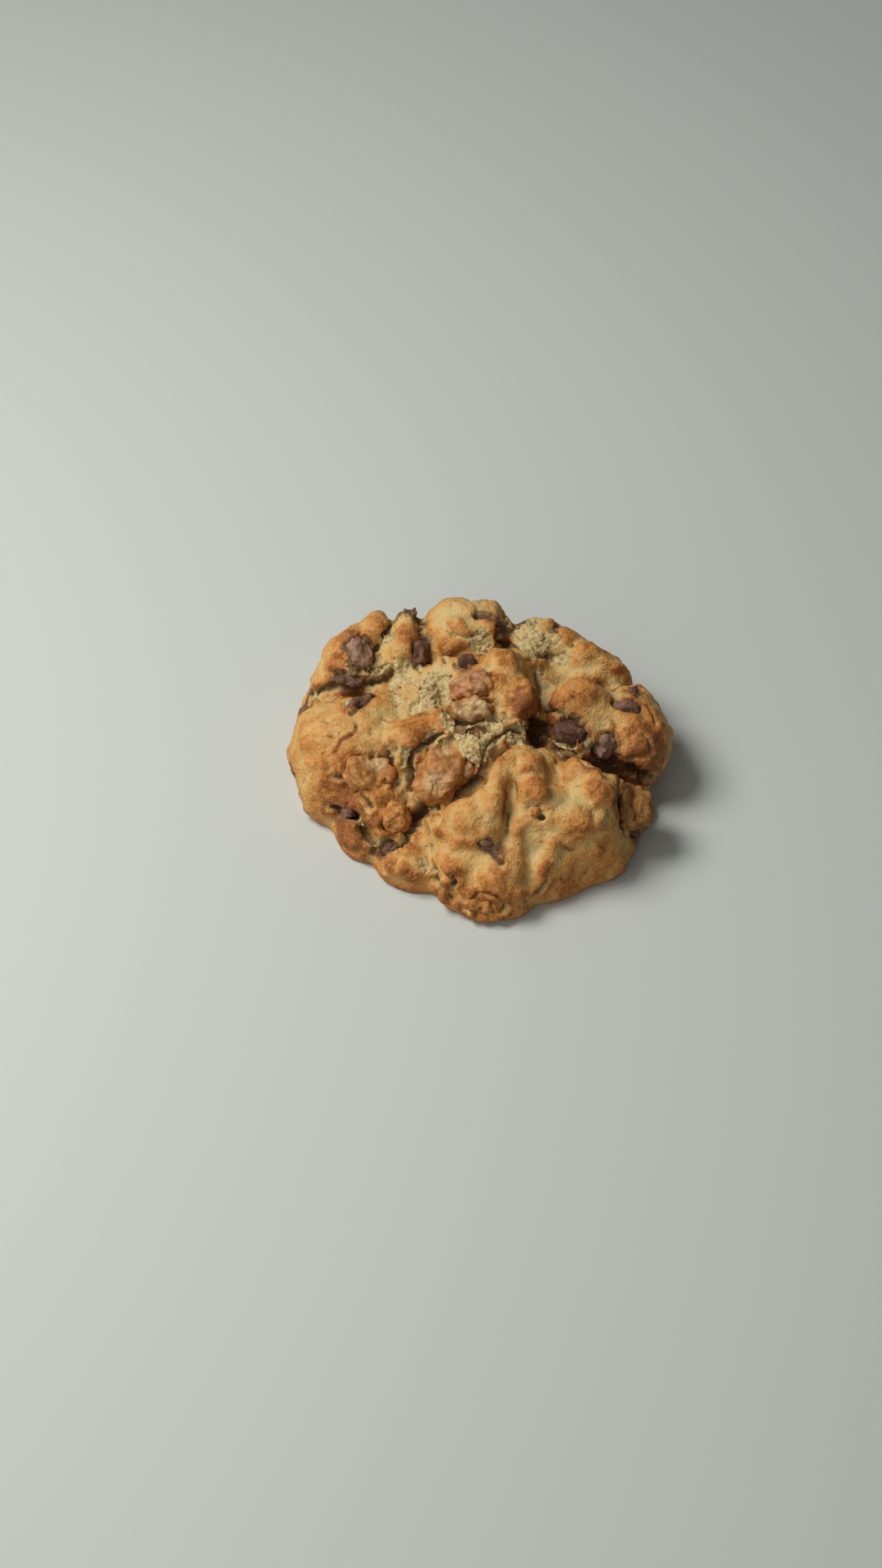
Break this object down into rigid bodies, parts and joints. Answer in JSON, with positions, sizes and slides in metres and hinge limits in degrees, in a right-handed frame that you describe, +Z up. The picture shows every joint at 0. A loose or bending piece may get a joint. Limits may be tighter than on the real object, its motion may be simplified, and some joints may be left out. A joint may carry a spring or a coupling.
{
  "type": "chocolate chip cookie with walnuts",
  "caption": "Thick, craggy drop cookie of cracked golden dough with chocolate chunks and walnut pieces, flat underneath.",
  "frame": {"origin": "middle of the bounding box's underside, on the flat base of the cookie", "axes": "+Z up, +X along the cookie's longest way, +Y towards the tall back edge"},
  "size_m": [0.1088, 0.1024, 0.0366],
  "materials": {
    "dough": "matte baked crust, fine sandy grain",
    "chocolate": "dull, softly glossed milk chocolate",
    "walnut": "toasted nut with a slight oily gloss"
  },
  "bodies": {
    "root": {"chip_crown": "chocolate", "chip_right_lobe": "chocolate", "chunk_back_corner": "chocolate", "chunk_back_left": "chocolate", "chunk_back_rim_left": "chocolate", "chunk_back_rim_right": "chocolate", "chunk_by_knob": "chocolate", "chunk_left_edge": "chocolate", "chunk_left_foot": "chocolate", "chunk_left_low": "chocolate", "chunk_left_split": "chocolate", "chunk_right_inner": "chocolate", "chunk_right_low": "chocolate", "chunk_right_outer": "chocolate", "chunk_slab": "chocolate", "chunk_tongue": "chocolate", "dough": "dough", "streak_cheek": "chocolate", "streak_front": "chocolate", "streak_right_lobe": "chocolate", "walnut_cheek": "walnut", "walnut_crown": "walnut", "walnut_crown_skin": "walnut", "walnut_dimple": "walnut", "walnut_foot": "walnut", "walnut_lower_cheek": "walnut", "walnut_pale": "walnut", "walnut_right": "walnut", "walnut_split": "walnut"}
  },
  "joints": []
}
